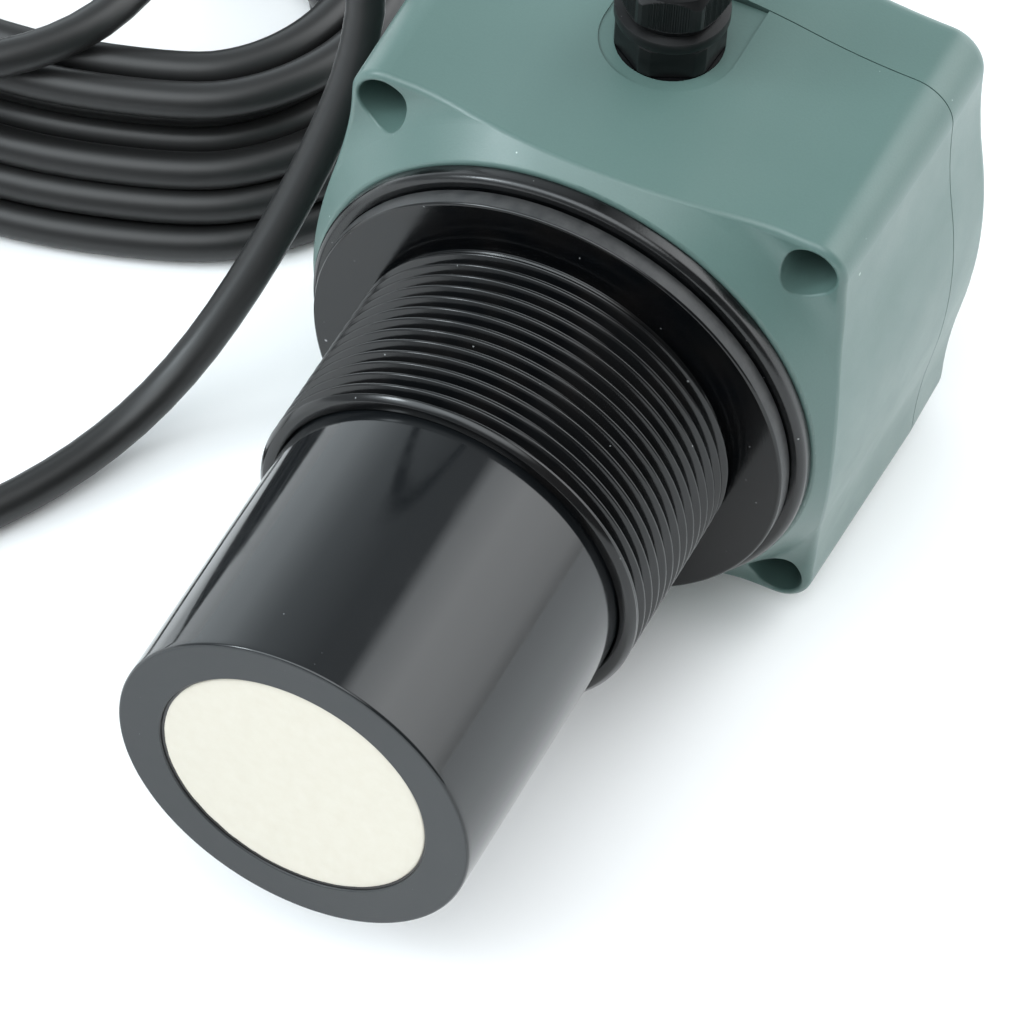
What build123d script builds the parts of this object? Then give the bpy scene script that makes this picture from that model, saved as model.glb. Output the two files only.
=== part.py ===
"""Ultrasonic level transmitter with its signal cable.

The sensor axis runs along Y, with the sounding face towards -Y, and the cable gland points to +Z.
Lengths are millimetres. While the pieces are made, y = 0 is the front face of the flange and the
sensor axis is z = 0. The finished pieces are shifted once, so that the instrument stands on z = 0
with its middle over the origin.
"""
import os
from math import atan2, cos, degrees, pi, radians, sin, sqrt, tan

from build123d import *

# Sensor: sounding face, barrel, threaded sleeve and flange
THREAD_D = 60.0
THREAD_CREST_EDGE = 0.7
SLEEVE_LENGTH = 32.4
THREAD_RELIEF = 1.5
THREAD_RELIEF_DEPTH = 0.9
UNDERCUT_DEPTH = 0.3
UNDERCUT_REACH = 0.4
BARREL_D = 54.8
BARREL_WALL = 2.4
BARREL_REACH = 79.6
BARREL_FACE = 3.0
BARREL_EDGE = 0.5
BARREL_FIT = 0.1
SLEEVE_SHOULDER = 4.0
FLANGE_D = 75.8
FLANGE_RIM = 3.0
FLANGE_EDGE = 0.35
FLANGE_GROOVE_DEPTH = 1.1
FLANGE_GROOVE = 0.3
NECK_D = 68.0
NECK_LENGTH = 3.1
SPIGOT_D = 45.0
SPIGOT_REACH = 24.0
SPIGOT_BORE = 34.0

# Flange seal
SEAL_LIP_D = 79.9
SEAL_EDGE = 1.1
SEAL_FIT = 0.15

# Transducer stack behind the sounding face
DISC_D = 41.0
DISC_DEPTH = 9.0
DISC_RECESS = 0.4
DISC_GLUE = 0.25
PIEZO_D = 38.0
PIEZO_DEPTH = 6.0
BACKING_DEPTH = 12.0
SLEEVE_SIDE_DEPTH = 18.0
POTTING_END = 9.0
STACK_FIT = 0.1
LEAD_D = 1.6
LEAD_SPREAD = 10.0
PROBE_D = 4.0
PROBE_LENGTH = 8.0
PROBE_WALL_GAP = 0.2

# Housing: square in the XZ plane, with bulged sides
HALF_MID = 43.35
HALF_CORNER = HALF_MID - 3.05
CORNER_R = 6.5
BULGE_TURN = 17.0
DRAFT = 1.6
EAR_Y = 12.8
PART_Y = 48.0
BOSS_D = 80.8
BOSS_EDGE = 0.7
RISE_ANGLE = 52.0
RISE_FILLET = 6.0
FRONT_EDGE = 1.2
WALL = 3.6
FRONT_WALL = 4.0
NECK_HOLE_FIT = 0.2
NUT_POCKET_D = 64.0

# Cover and its screws
COVER_DEPTH = 13.8
COVER_DRAFT = 1.0
COVER_EDGE = 3.0
COVER_WALL = 3.0
PART_GAP = 0.2
GASKET_WIDTH = 1.6
GASKET_DEPTH = 1.8
GASKET_INSET = 0.9
SCREW_INSET = 6.4
SCREW_BORE_D = 8.1
SCREW_BORE_EDGE = 0.4
SCREW_POST = 6.65
SCREW_FLOOR = 6.0
SCREW_D = 4.0
SCREW_HEAD_D = 7.4
SCREW_HEAD = 3.2
SCREW_LENGTH = 14.0
SCREW_FIT = 0.25
SOCKET_D = 3.4
INSERT_D = 5.8
INSERT_LENGTH = 8.0

# Body lock nut
LOCK_NUT_D = 57.0
LOCK_NUT_DEPTH = 6.0
LOCK_NUT_SLOTS = 6

# Circuit board
BOARD_Y = 30.0
BOARD_T = 1.6
BOARD_W = 66.0
BOARD_H = 60.0
BOARD_CUT = 6.8
BOARD_HOLE_X = 27.0
BOARD_HOLE_Z = 24.5
POST_D = 7.0
BOARD_SCREW_D = 3.0
BOARD_SCREW_HEAD_D = 5.6
BOARD_SCREW_HEAD = 2.0
BOARD_SCREW_LENGTH = 8.0
CONNECTOR_DEPTH = 5.0
CONNECTOR_W = 16.0
CONNECTOR_H = 16.0

# Cable gland
GLAND_Y = 36.5
GLAND_SEAT_R = 10.4
GLAND_SEAT_Z = HALF_MID - 1.15
GLAND_TURN = 27.0
GLAND_AF = 14.9
GLAND_HEX = 5.5
GLAND_COLLAR_D = 13.8
GLAND_COLLAR = 2.5
GLAND_NUT_AF = 15.0
GLAND_NUT = 12.5
GLAND_NUT_TURN = 19.0
GLAND_DOME_R = 3.2
GLAND_THREAD_D = 12.4
GLAND_THREAD = 8.0
GLAND_CORE_D = 9.0
GLAND_GASKET_D = 16.0
GLAND_GASKET = 1.0
GLAND_LOCK_AF = 17.0
GLAND_LOCK = 3.5
GLAND_PAD_R = 10.8
GLAND_PAD_Z = HALF_MID - WALL - 0.75
GRIP_DEPTH = 9.0
GLAND_FIT = 0.1

# Cable
CABLE_D = 6.0
CORE_D = 1.5
CORE_COUNT = 4
CORE_PITCH = 5.0
JACKET_END_Z = GLAND_SEAT_Z - GLAND_THREAD - 3.2
TERMINAL_TOP_Z = BOARD_H / 2 - 7.0
TERMINAL_H = 10.0
TERMINAL_DEPTH = 10.5
TAIL_CORE = 26.0
FERRULE = 8.0
FERRULE_D = 2.1

# Coil: an oval ring of turns to the left of the housing, steeper inside than outside
COIL_X = -125.5
COIL_Y = 74.9
COIL_HALF_LONG = 77.0
COIL_HALF_SHORT = 56.5
COIL_END_R = 49.0
COIL_TURN = -4.0
COIL_WIDTH = 30.0
COIL_HEIGHT = 26.8
COIL_SLOPE_WIDTH = 10.0
COIL_SLOPE_HEIGHT = 20.0
COIL_EDGE = 3.0

FACE_Y = -BARREL_REACH
REAR_Y = PART_Y + PART_GAP + COVER_DEPTH
MIDDLE_Y = (FACE_Y + REAR_Y) / 2
BOSS_Y = FLANGE_RIM + NECK_LENGTH
FLOOR_Z = -HALF_MID
GLAND_TOP_Z = GLAND_SEAT_Z + GLAND_HEX + GLAND_COLLAR + GLAND_NUT
SHIFT = Pos(0, -MIDDLE_Y, HALF_MID)

# The free run of the cable: points from the gland over the left side and down to the surface,
# round in front and to the left, and over the coil into its far side. They are chosen by hand.
RUN_POINTS = [
    (0, GLAND_Y, GLAND_TOP_Z),
    (0, GLAND_Y, GLAND_TOP_Z + 24),
    (-3, 37, GLAND_TOP_Z + 52),
    (-18, 40, GLAND_TOP_Z + 80),
    (-46, 45, GLAND_TOP_Z + 91),
    (-73, 50, GLAND_TOP_Z + 76),
    (-84, 54, GLAND_TOP_Z + 46),
    (-77, 54, GLAND_TOP_Z + 13),
    (-61, 49, 45),
    (-48, 41.5, 19),
    (-53.5, 21, -12.5),
    (-63.5, 0, -38),
    (-76, -29, -40.35),
    (-98, -55, -40.35),
    (-129, -59, -40.35),
    (-152, -36, -37.5),
    (-147, -3, -26),
    (-122, 20, -13),
    (-99, 38, -12.5),
    (-95, 65, -13),
    (-98, 90, -14),
    (-114, 108, -17),
    (-140, 110, -19.6),
]

# The free end of the cable, from the coil's lowest outer turn
TAIL_POINTS = [
    (-199.4, 72, -40.35),
    (-199.4, 50, -40.35),
    (-195, 28, -40.35),
    (-182, 10, -40.35),
]


def turned(*points):
    """A solid turned about the sensor axis from (radius, y) points."""
    return revolve(make_face(Polyline(*[(r, y, 0) for r, y in points], close=True)), Axis.Y)


def disc(radius, y, depth, bore=0.0, x=0.0, z=0.0):
    """A round plate square to the sensor axis, from y to y + depth."""
    plate = Pos(x, y + depth / 2, z) * Rot(90, 0, 0) * Cylinder(radius, depth)
    if bore:
        plate -= Pos(x, y + depth / 2, z) * Rot(90, 0, 0) * Cylinder(bore, depth)
    return plate


def section(y):
    """The plane square to the sensor axis at y, with its own axes along X and Z."""
    return Plane(origin=(0, y, 0), x_dir=(1, 0, 0), z_dir=(0, -1, 0))


def outer_outline(y, half_mid, half_corner):
    """The housing's outline: four sides that swell in the middle, joined by round corners."""
    flat = half_corner - CORNER_R
    swing = 2 * atan2(half_mid - half_corner, flat)
    turn_x = half_mid - BULGE_TURN * tan(swing / 2)
    turn_z = BULGE_TURN
    side = [
        TangentArc((half_corner, -flat), (turn_x, -turn_z), tangent=(0, 1)),
        ThreePointArc((turn_x, -turn_z), (half_mid, 0), (turn_x, turn_z)),
        TangentArc((half_corner, flat), (turn_x, turn_z), tangent=(0, -1)),
    ]
    middle = flat + CORNER_R * cos(pi / 4)
    corner = ThreePointArc((half_corner, flat), (middle, middle), (flat, half_corner))
    edges = [Rot(0, 0, 90 * k) * edge for k in range(4) for edge in (*side, corner)]
    return section(y) * make_face(edges)


def inner_outline(y, grow=0.0):
    """The cavity's outline, with its corners cut off to leave the screw posts."""
    bulge = HALF_MID - HALF_CORNER
    half_mid = HALF_MID - WALL + grow
    chord = 2 * (HALF_CORNER - SCREW_INSET) + (grow - SCREW_POST) * sqrt(2)
    side_x = HALF_CORNER + bulge / 4 - WALL + grow
    reach = chord - side_x
    side = ThreePointArc((side_x, -reach), (half_mid, 0), (side_x, reach))
    cut = Line((side_x, reach), (reach, side_x))
    edges = [Rot(0, 0, 90 * k) * edge for k in range(4) for edge in (side, cut)]
    return section(y) * make_face(edges)


def corners():
    """The four screw places."""
    half = HALF_CORNER - SCREW_INSET
    return [(x, z) for x in (-half, half) for z in (-half, half)]


def board_corners():
    return [(x, z) for x in (-BOARD_HOLE_X, BOARD_HOLE_X) for z in (-BOARD_HOLE_Z, BOARD_HOLE_Z)]


def housing_front():
    """Everything behind the front surface: the round boss, the concave rise and the flat ears."""
    rise = EAR_Y - BOSS_Y
    foot = BOSS_D / 2 + rise / tan(radians(RISE_ANGLE))
    reach = HALF_MID * 2
    line = FilletPolyline(
        (0, BOSS_Y), (BOSS_D / 2, BOSS_Y), (foot, EAR_Y), (reach, EAR_Y),
        radius=[BOSS_EDGE, RISE_FILLET],
    )
    back = Polyline((reach, EAR_Y), (reach, PART_Y + 1), (0, PART_Y + 1), (0, BOSS_Y))
    return revolve(make_face([*line.edges(), *back.edges()]), Axis.Y)


def make_housing():
    outline = outer_outline(PART_Y, HALF_MID, HALF_CORNER)
    block = extrude(outline, PART_Y - BOSS_Y + 1, dir=(0, -1, 0), taper=DRAFT)
    body = block & housing_front()
    body = fillet(front_rim(body), FRONT_EDGE)
    for x, z in corners():
        body -= disc(SCREW_BORE_D / 2, BOSS_Y, PART_Y - SCREW_FLOOR - BOSS_Y, x=x, z=z)
    body = fillet(bore_mouths(body), SCREW_BORE_EDGE)
    cavity_y = EAR_Y + WALL
    body -= extrude(inner_outline(cavity_y), PART_Y - cavity_y, dir=(0, 1, 0))
    body += gland_round(GLAND_PAD_R, GLAND_PAD_Z, GLAND_SEAT_Z - GLAND_PAD_Z)
    body -= disc(NUT_POCKET_D / 2, BOSS_Y + FRONT_WALL, cavity_y - BOSS_Y - FRONT_WALL)
    body -= disc(SPIGOT_D / 2 + NECK_HOLE_FIT, BOSS_Y - 1, FRONT_WALL + 2)
    groove = inner_outline(PART_Y - GASKET_DEPTH, GASKET_INSET + GASKET_WIDTH)
    groove -= inner_outline(PART_Y - GASKET_DEPTH, GASKET_INSET)
    body -= extrude(groove, GASKET_DEPTH, dir=(0, 1, 0))
    for x, z in corners():
        body -= disc(SCREW_D / 2 + SCREW_FIT, PART_Y - SCREW_FLOOR, SCREW_FLOOR, x=x, z=z)
    for x, z in board_corners():
        post = disc(POST_D / 2, cavity_y, BOARD_Y - cavity_y, bore=BOARD_SCREW_D / 2 + 0.05, x=x, z=z)
        body += post
    body -= gland_seat()
    body -= gland_round(GLAND_THREAD_D / 2 + GLAND_FIT, GLAND_PAD_Z - 1, GLAND_SEAT_Z - GLAND_PAD_Z + 1)
    body -= gland_round(GLAND_GASKET_D / 2 + GLAND_FIT, GLAND_SEAT_Z - GLAND_GASKET, 2)
    return body


def front_rim(body):
    """The edges where the front surface meets the four sides and their round corners."""
    sides = [
        face for face in body.faces()
        if face.bounding_box().max.Y > PART_Y - 1 and face.bounding_box().min.Y < EAR_Y + 1
    ]
    return [edge for face in sides for edge in face.edges() if edge.bounding_box().max.Y < EAR_Y + 1]


def bore_mouths(body):
    """The edges where the four deep screw bores open into the front surface."""
    bores = body.faces().filter_by(GeomType.CYLINDER).filter_by(
        lambda face: abs(face.radius - SCREW_BORE_D / 2) < 0.01
    )
    return [edge for face in bores for edge in face.edges() if edge.bounding_box().max.Y < EAR_Y + 1]


def gland_round(radius, z, height):
    return Pos(0, GLAND_Y, z + height / 2) * Cylinder(radius, height)


def gland_hex(across, z, height, turn):
    """A hexagonal prism on the gland axis."""
    face = Pos(0, GLAND_Y, z) * Rot(0, 0, turn) * RegularPolygon(across / 2, 6, major_radius=False)
    return extrude(face, height)


def gland_seat():
    """The flat seat under the gland: round towards the sensor, open at the parting line."""
    height = HALF_MID - GLAND_SEAT_Z + 1
    run = PART_Y - GLAND_Y
    seat = gland_round(GLAND_SEAT_R, GLAND_SEAT_Z, height)
    seat += Pos(0, GLAND_Y + run / 2, GLAND_SEAT_Z + height / 2) * Box(2 * GLAND_SEAT_R, run, height)
    return seat


def make_cover():
    front = PART_Y + PART_GAP
    body = extrude(outer_outline(front, HALF_MID, HALF_CORNER), COVER_DEPTH, dir=(0, 1, 0), taper=COVER_DRAFT)
    body = fillet(body.faces().sort_by(Axis.Y)[-1].edges(), COVER_EDGE)
    body -= extrude(inner_outline(front), COVER_DEPTH - COVER_WALL, dir=(0, 1, 0))
    for x, z in corners():
        body -= disc(INSERT_D / 2 + 0.05, front, INSERT_LENGTH, x=x, z=z)
        body -= disc(SCREW_D / 2 + 0.05, front, INSERT_LENGTH + 1.5, x=x, z=z)
    return body


def make_gasket():
    y = PART_Y - GASKET_DEPTH
    trim = 0.1
    ring = inner_outline(y, GASKET_INSET + GASKET_WIDTH - trim) - inner_outline(y, GASKET_INSET + trim)
    return extrude(ring, GASKET_DEPTH + PART_GAP, dir=(0, 1, 0))


def make_cover_screw(x, z):
    """A socket head screw at the bottom of its deep bore, with its thread in the cover's insert."""
    head_y = PART_Y - SCREW_FLOOR - SCREW_HEAD
    screw = disc(SCREW_HEAD_D / 2, head_y, SCREW_HEAD, x=x, z=z)
    screw += disc(SCREW_D / 2, head_y + SCREW_HEAD, SCREW_LENGTH, x=x, z=z)
    socket = RegularPolygon(SOCKET_D / 2, 6, major_radius=False)
    screw -= extrude(section(head_y) * Pos(x, z) * socket, SCREW_HEAD * 0.6, dir=(0, 1, 0))
    return screw


def make_cover_insert(x, z):
    return disc(INSERT_D / 2, PART_Y + PART_GAP, INSERT_LENGTH, bore=SCREW_D / 2 + 0.05, x=x, z=z)


def make_threaded_body():
    """Sleeve with the outside thread, flange, neck and the spigot that enters the housing."""
    outer = THREAD_D / 2
    relief = outer - THREAD_RELIEF_DEPTH
    flange = FLANGE_D / 2
    groove = flange - FLANGE_GROOVE_DEPTH
    bore = BARREL_D / 2 + BARREL_FIT
    edge = THREAD_CREST_EDGE
    return turned(
        (bore, -SLEEVE_LENGTH), (outer - edge, -SLEEVE_LENGTH), (outer, -SLEEVE_LENGTH + edge),
        (outer, -THREAD_RELIEF), (relief, -THREAD_RELIEF), (relief, UNDERCUT_DEPTH),
        (outer + UNDERCUT_REACH, UNDERCUT_DEPTH), (outer + UNDERCUT_REACH, 0),
        (flange - FLANGE_EDGE, 0), (flange, FLANGE_EDGE),
        (flange, FLANGE_RIM), (groove, FLANGE_RIM), (groove, FLANGE_RIM + FLANGE_GROOVE),
        (NECK_D / 2, FLANGE_RIM + FLANGE_GROOVE), (NECK_D / 2, BOSS_Y),
        (SPIGOT_D / 2, BOSS_Y), (SPIGOT_D / 2, SPIGOT_REACH - 1), (SPIGOT_D / 2 - 1, SPIGOT_REACH),
        (SPIGOT_BORE / 2, SPIGOT_REACH), (SPIGOT_BORE / 2, -SLEEVE_SHOULDER), (bore, -SLEEVE_SHOULDER),
    )


def make_flange_seal():
    """The rubber ring squeezed between the flange and the housing, with a rounded lip."""
    front = FLANGE_RIM + FLANGE_GROOVE
    inner = NECK_D / 2 + SEAL_FIT
    outer = SEAL_LIP_D / 2
    outline = FilletPolyline((inner, front), (outer, front), (outer, BOSS_Y), radius=SEAL_EDGE)
    back = Polyline((outer, BOSS_Y), (inner, BOSS_Y), (inner, front))
    return revolve(make_face([*outline.edges(), *back.edges()]), Axis.Y)


def make_barrel():
    """The smooth cup that carries the transducer, open at the back."""
    outer = BARREL_D / 2
    inner = outer - BARREL_WALL
    hole = DISC_D / 2 + DISC_GLUE
    return turned(
        (hole, FACE_Y), (outer - BARREL_EDGE, FACE_Y), (outer, FACE_Y + BARREL_EDGE),
        (outer, -SLEEVE_SHOULDER), (inner, -SLEEVE_SHOULDER),
        (inner, FACE_Y + BARREL_FACE), (hole, FACE_Y + BARREL_FACE),
    )


def stack_levels():
    """The y of the front of each layer behind the sounding face, and of the last one's back."""
    disc_y = FACE_Y + DISC_RECESS
    piezo_y = disc_y + DISC_DEPTH
    backing_y = piezo_y + PIEZO_DEPTH
    return disc_y, piezo_y, backing_y, backing_y + BACKING_DEPTH


def make_isolation_sleeve():
    """The soft sleeve between the transducer stack and the barrel wall."""
    inner = DISC_D / 2 + STACK_FIT
    outer = BARREL_D / 2 - BARREL_WALL - STACK_FIT
    return disc(outer, FACE_Y + BARREL_FACE, SLEEVE_SIDE_DEPTH, bore=inner)


def wire(points, diameter):
    """A round wire along straight runs with mitred bends."""
    start = Vector(*points[0])
    aim = Vector(*points[1]) - start
    section_face = Plane(origin=start, z_dir=aim) * Circle(diameter / 2)
    return sweep(section_face, path=Polyline(*points), transition=Transition.RIGHT)


def make_leads():
    """The transducer's two leads, from the piezo disc back to the connector on the board."""
    piezo_back = stack_levels()[2]
    reach = BOARD_Y - CONNECTOR_DEPTH - piezo_back
    return Compound(
        [disc(LEAD_D / 2, piezo_back, reach, x=x) for x in (-LEAD_SPREAD / 2, LEAD_SPREAD / 2)]
    )


def probe_place():
    """Where the temperature probe lies against the barrel wall."""
    z = BARREL_D / 2 - BARREL_WALL - PROBE_WALL_GAP - PROBE_D / 2
    return FACE_Y + BARREL_FACE + SLEEVE_SIDE_DEPTH + 3, z


def make_probe():
    """The temperature probe and its lead, which runs back to the connector."""
    y, z = probe_place()
    back = y + PROBE_LENGTH
    bead = disc(PROBE_D / 2, y, PROBE_LENGTH, z=z)
    end_z = CONNECTOR_H / 2 - 2
    points = [(0, back, z), (0, back + 14, z), (0, -14, end_z), (0, BOARD_Y - CONNECTOR_DEPTH, end_z)]
    return bead + wire(points, LEAD_D)


def make_potting(cut_pieces):
    """The resin that fills the barrel behind the stack, cast round the leads and the probe."""
    inner = BARREL_D / 2 - BARREL_WALL
    back = stack_levels()[3]
    sleeve_end = FACE_Y + BARREL_FACE + SLEEVE_SIDE_DEPTH
    resin = disc(inner, back, -POTTING_END - back)
    if back > sleeve_end:
        resin += disc(inner, sleeve_end, back - sleeve_end, bore=DISC_D / 2)
    for piece in cut_pieces:
        resin -= piece
    return resin


def make_backing(cut_pieces):
    y = stack_levels()[2]
    block = disc(DISC_D / 2, y, BACKING_DEPTH)
    for piece in cut_pieces:
        block -= piece
    return block


def make_lock_nut():
    """The slotted ring nut that pulls the flange onto the housing from inside."""
    y = BOSS_Y + FRONT_WALL
    nut = disc(LOCK_NUT_D / 2, y, LOCK_NUT_DEPTH, bore=SPIGOT_D / 2 + 0.05)
    for k in range(LOCK_NUT_SLOTS):
        slot = Pos(LOCK_NUT_D / 2, y + LOCK_NUT_DEPTH / 2, 0) * Box(5, LOCK_NUT_DEPTH, 6)
        nut -= Rot(0, 360 / LOCK_NUT_SLOTS * k, 0) * slot
    return nut


def make_board():
    board = Pos(0, BOARD_Y + BOARD_T / 2, 0) * Box(BOARD_W, BOARD_T, BOARD_H)
    board = chamfer(board.edges().filter_by(Axis.Y), BOARD_CUT)
    for x, z in board_corners():
        board -= disc(BOARD_SCREW_D / 2 + 0.1, BOARD_Y, BOARD_T, x=x, z=z)
    return board


def make_board_screw(x, z):
    y = BOARD_Y + BOARD_T
    screw = disc(BOARD_SCREW_HEAD_D / 2, y, BOARD_SCREW_HEAD, x=x, z=z)
    screw += disc(BOARD_SCREW_D / 2, y - BOARD_SCREW_LENGTH, BOARD_SCREW_LENGTH, x=x, z=z)
    slot = Box(BOARD_SCREW_HEAD_D, 1.6, 0.8)
    return screw - Pos(x, y + BOARD_SCREW_HEAD, z) * slot


def on_board(x, z, width, height, depth, edge=0.0):
    """A block on the rear side of the board, depth measured from its surface."""
    block = Box(width, depth, height)
    if edge:
        block = chamfer(block.edges().filter_by(Axis.Y), edge)
    return Pos(x, BOARD_Y + BOARD_T + depth / 2, z) * block


def core_places():
    return [(k - (CORE_COUNT - 1) / 2) * CORE_PITCH for k in range(CORE_COUNT)]


def make_terminal_block():
    """The screw terminal block that takes the cable's cores from above."""
    width = CORE_COUNT * CORE_PITCH + 2
    z = TERMINAL_TOP_Z - TERMINAL_H / 2
    block = on_board(0, z, width, TERMINAL_H, TERMINAL_DEPTH)
    for x in core_places():
        block -= Pos(x, GLAND_Y, TERMINAL_TOP_Z - 2) * Box(3.2, 3.2, 4)
        block -= disc(1.9, BOARD_Y + BOARD_T + TERMINAL_DEPTH - 3, 3, x=x, z=z)
    return block


def make_terminal_screws():
    z = TERMINAL_TOP_Z - TERMINAL_H / 2
    y = BOARD_Y + BOARD_T + TERMINAL_DEPTH - 3
    screws = []
    for x in core_places():
        screw = disc(1.8, y, 1.6, x=x, z=z)
        screws.append(screw - Pos(x, y + 1.6, z) * Box(3.6, 1.2, 0.7))
    return Compound(screws)


def make_transformer():
    """The pulse transformer: a ferrite frame round a wound bobbin."""
    x, z = -14.0, -11.0
    core = on_board(x, z, 20, 20, 15)
    window = Pos(x, BOARD_Y + BOARD_T + 7.5, z)
    core -= window * Box(13.6, 9.6, 20)
    core += window * Box(13.6, 3.4, 5)
    winding = window * (Box(13.2, 9.2, 22) - Box(13.2, 3.6, 5.2))
    return core, winding


def make_capacitors():
    cans = []
    for x in (3, 15):
        y = BOARD_Y + BOARD_T
        can = disc(5, y, 13, x=x, z=-21)
        cans.append(chamfer(can.edges().sort_by(Axis.Y)[-1:], 0.6))
    return Compound(cans)


def make_microcontroller():
    return on_board(16, 0, 12, 12, 1.6, edge=0.8)


def make_regulator():
    return on_board(-20, 10, 10, 9, 4.5, edge=0.5)


def make_sensor_connector():
    """The socket on the front of the board, where the transducer and probe leads end."""
    y = BOARD_Y - CONNECTOR_DEPTH / 2
    return Pos(0, y, 0) * Box(CONNECTOR_W, CONNECTOR_DEPTH, CONNECTOR_H)


def make_gland_body():
    """Hexagonal base, inner thread through the wall, and the collar and core under the nut."""
    top = GLAND_SEAT_Z + GLAND_HEX
    body = gland_hex(GLAND_AF, GLAND_SEAT_Z, GLAND_HEX, GLAND_TURN)
    body = chamfer(body.edges().filter_by(Axis.Z), 0.8)
    body += gland_round(GLAND_COLLAR_D / 2, top, GLAND_COLLAR)
    body += gland_round(GLAND_CORE_D / 2 + 0.6, top + GLAND_COLLAR, GLAND_NUT - 5)
    body += gland_round(GLAND_THREAD_D / 2, GLAND_SEAT_Z - GLAND_THREAD, GLAND_THREAD)
    bore = CABLE_D / 2 + GLAND_FIT
    height = GLAND_THREAD + GLAND_HEX + GLAND_COLLAR + GLAND_NUT
    body -= gland_round(bore, GLAND_SEAT_Z - GLAND_THREAD - 1, height + 2)
    seal_z = top + GLAND_COLLAR + GLAND_NUT - 5 - GRIP_DEPTH
    body -= gland_round(GLAND_CORE_D / 2 - 0.4, seal_z, GRIP_DEPTH + 1)
    return body


def make_gland_grip():
    """The rubber sleeve that grips the cable inside the gland."""
    z = GLAND_SEAT_Z + GLAND_HEX + GLAND_COLLAR + GLAND_NUT - 5 - GRIP_DEPTH
    sleeve = gland_round(GLAND_CORE_D / 2 - 0.5, z, GRIP_DEPTH)
    return sleeve - gland_round(CABLE_D / 2 + 0.02, z, GRIP_DEPTH)


def make_gland_nut():
    """The domed nut: a hexagon with round corners at both ends."""
    z = GLAND_SEAT_Z + GLAND_HEX + GLAND_COLLAR
    hexagon = gland_hex(GLAND_NUT_AF, z, GLAND_NUT, GLAND_NUT_TURN)
    corner = GLAND_NUT_AF / sqrt(3)
    foot = GLAND_NUT_AF / 2 - 0.1
    top = CABLE_D / 2 + 1.6
    profile = Polyline(
        (0, 0, 0), (foot, 0, 0), (corner, 1.6, 0), (corner, GLAND_NUT - 5.5, 0),
        (corner - GLAND_DOME_R * 0.45, GLAND_NUT - 3.2, 0), (top + 1.2, GLAND_NUT - 0.6, 0),
        (top, GLAND_NUT, 0), (0, GLAND_NUT, 0), close=True,
    )
    turned_nut = Pos(0, GLAND_Y, z) * Rot(90, 0, 0) * revolve(make_face(profile), Axis.Y)
    nut = hexagon & turned_nut
    nut -= gland_round(CABLE_D / 2 + 0.15, z - 1, GLAND_NUT + 2)
    return nut - gland_round(GLAND_CORE_D / 2 + 0.65, z, GLAND_NUT - 4.8)


def make_gland_gasket():
    z = GLAND_SEAT_Z - GLAND_GASKET
    ring = gland_round(GLAND_GASKET_D / 2, z, GLAND_GASKET)
    return ring - gland_round(GLAND_THREAD_D / 2 + 0.05, z, GLAND_GASKET)


def make_gland_lock_nut():
    z = GLAND_PAD_Z - GLAND_LOCK
    nut = gland_hex(GLAND_LOCK_AF, z, GLAND_LOCK, 0)
    return nut - gland_round(GLAND_THREAD_D / 2 + 0.05, z, GLAND_LOCK)


def make_cable_lead_in():
    """The straight length of cable through the gland, from inside the housing to the nut's top."""
    return gland_round(CABLE_D / 2, JACKET_END_Z, GLAND_TOP_Z - JACKET_END_Z)


def make_cores():
    """The four cores, fanned from the jacket to the terminal block."""
    cores = []
    for k, x in enumerate(core_places()):
        start_x = (-1.6, -0.8, 0.8, 1.6)[k]
        start_y = GLAND_Y + (0.9, -0.9, -0.9, 0.9)[k]
        points = [
            (start_x, start_y, JACKET_END_Z),
            (start_x, start_y, JACKET_END_Z - 1.5),
            (x, GLAND_Y, TERMINAL_TOP_Z + 1.5),
            (x, GLAND_Y, TERMINAL_TOP_Z - 4),
        ]
        cores.append(wire(points, CORE_D))
    return Compound(cores)


def arc_radii(points):
    """The radius of each arc: 0.45 of the shorter run over the tangent of half the turn."""
    radii = []
    for before, here, after in zip(points, points[1:], points[2:]):
        into = Vector(*here) - Vector(*before)
        out = Vector(*after) - Vector(*here)
        half = radians(into.get_angle(out)) / 2
        radii.append(0.45 * min(into.length, out.length) / tan(half))
    return radii


def cable(points, name):
    radii = arc_radii(points)
    print(name, "arc radii", [round(r, 1) for r in radii])
    path = FilletPolyline(*points, radius=radii)
    print(name, "length", round(path.length, 1))
    start = Vector(*points[0])
    plane = Plane(origin=start, z_dir=Vector(*points[1]) - start)
    return sweep(plane * Circle(CABLE_D / 2), path=path)


def oval(grow):
    """The coil's oval as four tangent arcs, grown outwards by a distance."""
    rise = COIL_HALF_LONG - COIL_END_R
    side_r = (rise**2 + COIL_HALF_SHORT**2 - COIL_END_R**2) / (2 * (COIL_HALF_SHORT - COIL_END_R))
    drop = side_r - COIL_HALF_SHORT
    join = degrees(atan2(drop, rise))
    end = CenterArc((rise, 0), COIL_END_R + grow, -join, 2 * join)
    side = CenterArc((0, -drop), side_r + grow, join, 180 - 2 * join)
    return make_face([Rot(0, 0, turn) * arc for turn in (0, 180) for arc in (end, side)])


def make_coil():
    """The closed outer shape of the turns, which lean inwards on the outside."""
    ring = oval(0) - oval(-COIL_WIDTH)
    body = extrude(Pos(COIL_X, COIL_Y, FLOOR_Z) * Rot(0, 0, COIL_TURN) * ring, COIL_HEIGHT)
    top = body.faces().sort_by(Axis.Z)[-1]
    outer = top.outer_wire().edges()
    body = chamfer(outer, COIL_SLOPE_WIDTH, COIL_SLOPE_HEIGHT, reference=top)
    top = body.faces().sort_by(Axis.Z)[-1]
    bottom = body.faces().sort_by(Axis.Z)[0]
    return chamfer([*top.inner_wires()[0].edges(), *bottom.edges()], COIL_EDGE)


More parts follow.
